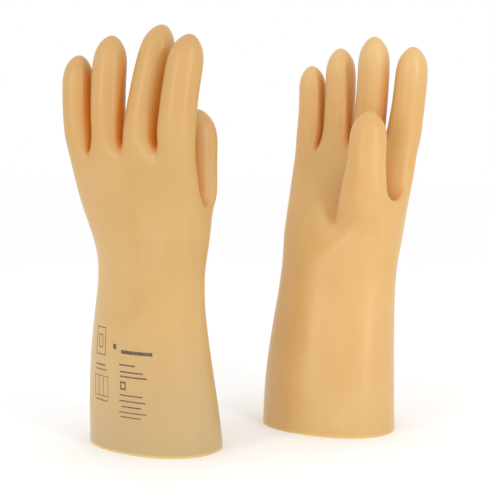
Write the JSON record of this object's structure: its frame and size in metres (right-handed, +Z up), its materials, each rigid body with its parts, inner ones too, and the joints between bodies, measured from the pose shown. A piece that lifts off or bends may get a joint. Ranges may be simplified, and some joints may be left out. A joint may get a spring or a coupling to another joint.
{
  "type": "electrical insulating gloves",
  "caption": "Pair of long seamless natural rubber gloves that insulate a worker's hands and forearms against electric shock.",
  "frame": {"origin": "on the floor, in the middle of the box round the two standing gloves", "axes": "+Z up from the cuffs to the fingertips, +X towards the thumb side of both gloves, +Y towards the left glove's palm side and the right glove's back"},
  "size_m": [0.2674, 0.289, 0.4025],
  "materials": {
    "left_latex": "smooth satin natural latex, cream to amber",
    "right_latex": "smooth satin natural latex, cream to amber"
  },
  "bodies": {
    "left_cuff": {"left_cuff": "left_latex"},
    "left_hand": {"left_hand": "left_latex"},
    "left_little_base": {"left_little_base": "left_latex"},
    "left_little_tip": {"left_little_tip": "left_latex"},
    "left_ring_base": {"left_ring_base": "left_latex"},
    "left_ring_tip": {"left_ring_tip": "left_latex"},
    "left_middle_base": {"left_middle_base": "left_latex"},
    "left_middle_tip": {"left_middle_tip": "left_latex"},
    "left_index_base": {"left_index_base": "left_latex"},
    "left_index_tip": {"left_index_tip": "left_latex"},
    "left_thumb_base": {"left_thumb_base": "left_latex"},
    "left_thumb_tip": {"left_thumb_tip": "left_latex"},
    "right_cuff": {"right_cuff": "right_latex"},
    "right_hand": {"right_hand": "right_latex"},
    "right_little_base": {"right_little_base": "right_latex"},
    "right_little_tip": {"right_little_tip": "right_latex"},
    "right_ring_base": {"right_ring_base": "right_latex"},
    "right_ring_tip": {"right_ring_tip": "right_latex"},
    "right_middle_base": {"right_middle_base": "right_latex"},
    "right_middle_tip": {"right_middle_tip": "right_latex"},
    "right_index_base": {"right_index_base": "right_latex"},
    "right_index_tip": {"right_index_tip": "right_latex"},
    "right_thumb_base": {"right_thumb_base": "right_latex"},
    "right_thumb_tip": {"right_thumb_tip": "right_latex"}
  },
  "joints": [
    {"name": "left_wrist", "type": "hinge", "parent": "left_cuff", "child": "left_hand", "pos_m": [-0.04988, -0.05233, 0.17794], "axis": [-0.9781, 0.2079, 0], "range_deg": [0, 30], "stiffness_Nm_per_rad": 5},
    {"name": "left_little_root", "type": "hinge", "parent": "left_hand", "child": "left_little_base", "pos_m": [-0.11221, -0.11129, 0.3134], "axis": [-1, -0.0009, 0.006], "range_deg": [0, 50], "stiffness_Nm_per_rad": 0.9},
    {"name": "left_little_middle", "type": "hinge", "parent": "left_little_base", "child": "left_little_tip", "pos_m": [-0.11203, -0.11382, 0.34016], "axis": [-1, -0.0001, 0.0062], "range_deg": [0, 60], "stiffness_Nm_per_rad": 0.6},
    {"name": "left_ring_root", "type": "hinge", "parent": "left_hand", "child": "left_ring_base", "pos_m": [-0.07894, -0.10943, 0.31257], "axis": [-0.999, -0.004, 0.0435], "range_deg": [0, 50], "stiffness_Nm_per_rad": 0.9},
    {"name": "left_ring_middle", "type": "hinge", "parent": "left_ring_base", "child": "left_ring_tip", "pos_m": [-0.07734, -0.11029, 0.34702], "axis": [-0.999, 0.0013, 0.0438], "range_deg": [0, 60], "stiffness_Nm_per_rad": 0.6},
    {"name": "left_middle_root", "type": "hinge", "parent": "left_hand", "child": "left_middle_base", "pos_m": [-0.04154, -0.10681, 0.30996], "axis": [-0.9898, 0.0086, 0.1419], "range_deg": [0, 45], "stiffness_Nm_per_rad": 0.9},
    {"name": "left_middle_middle", "type": "hinge", "parent": "left_middle_base", "child": "left_middle_tip", "pos_m": [-0.03572, -0.10186, 0.34846], "axis": [-0.9901, 0.024, 0.1383], "range_deg": [0, 60], "stiffness_Nm_per_rad": 0.6},
    {"name": "left_index_root", "type": "hinge", "parent": "left_hand", "child": "left_index_base", "pos_m": [-0.00177, -0.10848, 0.3119], "axis": [-0.9901, -0.0073, 0.1399], "range_deg": [0, 45], "stiffness_Nm_per_rad": 0.9},
    {"name": "left_index_middle", "type": "hinge", "parent": "left_index_base", "child": "left_index_tip", "pos_m": [0.00327, -0.10761, 0.34536], "axis": [-0.9902, 0.01, 0.1396], "range_deg": [0, 60], "stiffness_Nm_per_rad": 0.6},
    {"name": "left_thumb_root", "type": "hinge", "parent": "left_hand", "child": "left_thumb_base", "pos_m": [-0.04341, -0.06929, 0.25885], "axis": [0, -0.9982, 0.0593], "range_deg": [0, 25], "stiffness_Nm_per_rad": 1.2},
    {"name": "left_thumb_middle", "type": "hinge", "parent": "left_thumb_base", "child": "left_thumb_tip", "pos_m": [-0.03748, -0.06882, 0.2844], "axis": [0, -0.9999, -0.0107], "range_deg": [0, 30], "stiffness_Nm_per_rad": 0.8},
    {"name": "right_wrist", "type": "hinge", "parent": "right_cuff", "child": "right_hand", "pos_m": [0.06152, 0.05233, 0.17794], "axis": [0.9781, 0.2079, 0], "range_deg": [0, 30], "stiffness_Nm_per_rad": 5},
    {"name": "right_little_root", "type": "hinge", "parent": "right_hand", "child": "right_little_base", "pos_m": [-0.00081, 0.11129, 0.3134], "axis": [1, -0.0009, -0.006], "range_deg": [0, 50], "stiffness_Nm_per_rad": 0.9},
    {"name": "right_little_middle", "type": "hinge", "parent": "right_little_base", "child": "right_little_tip", "pos_m": [-0.00063, 0.11382, 0.34016], "axis": [1, -0.0001, -0.0062], "range_deg": [0, 60], "stiffness_Nm_per_rad": 0.6},
    {"name": "right_ring_root", "type": "hinge", "parent": "right_hand", "child": "right_ring_base", "pos_m": [0.03246, 0.10943, 0.31257], "axis": [0.999, -0.004, -0.0435], "range_deg": [0, 50], "stiffness_Nm_per_rad": 0.9},
    {"name": "right_ring_middle", "type": "hinge", "parent": "right_ring_base", "child": "right_ring_tip", "pos_m": [0.03406, 0.11029, 0.34702], "axis": [0.999, 0.0013, -0.0438], "range_deg": [0, 60], "stiffness_Nm_per_rad": 0.6},
    {"name": "right_middle_root", "type": "hinge", "parent": "right_hand", "child": "right_middle_base", "pos_m": [0.06986, 0.10681, 0.30996], "axis": [0.9898, 0.0086, -0.1419], "range_deg": [0, 45], "stiffness_Nm_per_rad": 0.9},
    {"name": "right_middle_middle", "type": "hinge", "parent": "right_middle_base", "child": "right_middle_tip", "pos_m": [0.07568, 0.10186, 0.34846], "axis": [0.9901, 0.024, -0.1383], "range_deg": [0, 60], "stiffness_Nm_per_rad": 0.6},
    {"name": "right_index_root", "type": "hinge", "parent": "right_hand", "child": "right_index_base", "pos_m": [0.10963, 0.10848, 0.3119], "axis": [0.9901, -0.0073, -0.1399], "range_deg": [0, 45], "stiffness_Nm_per_rad": 0.9},
    {"name": "right_index_middle", "type": "hinge", "parent": "right_index_base", "child": "right_index_tip", "pos_m": [0.11467, 0.10761, 0.34536], "axis": [0.9902, 0.01, -0.1396], "range_deg": [0, 60], "stiffness_Nm_per_rad": 0.6},
    {"name": "right_thumb_root", "type": "hinge", "parent": "right_hand", "child": "right_thumb_base", "pos_m": [0.06799, 0.06929, 0.25885], "axis": [0, -0.9982, -0.0593], "range_deg": [0, 25], "stiffness_Nm_per_rad": 1.2},
    {"name": "right_thumb_middle", "type": "hinge", "parent": "right_thumb_base", "child": "right_thumb_tip", "pos_m": [0.07392, 0.06882, 0.2844], "axis": [0, -0.9999, 0.0107], "range_deg": [0, 30], "stiffness_Nm_per_rad": 0.8},
    {"name": "gloves_apart", "type": "slide", "parent": "left_cuff", "child": "right_cuff", "axis": [1, 0, 0], "range_m": [0, 0.25]}
  ]
}
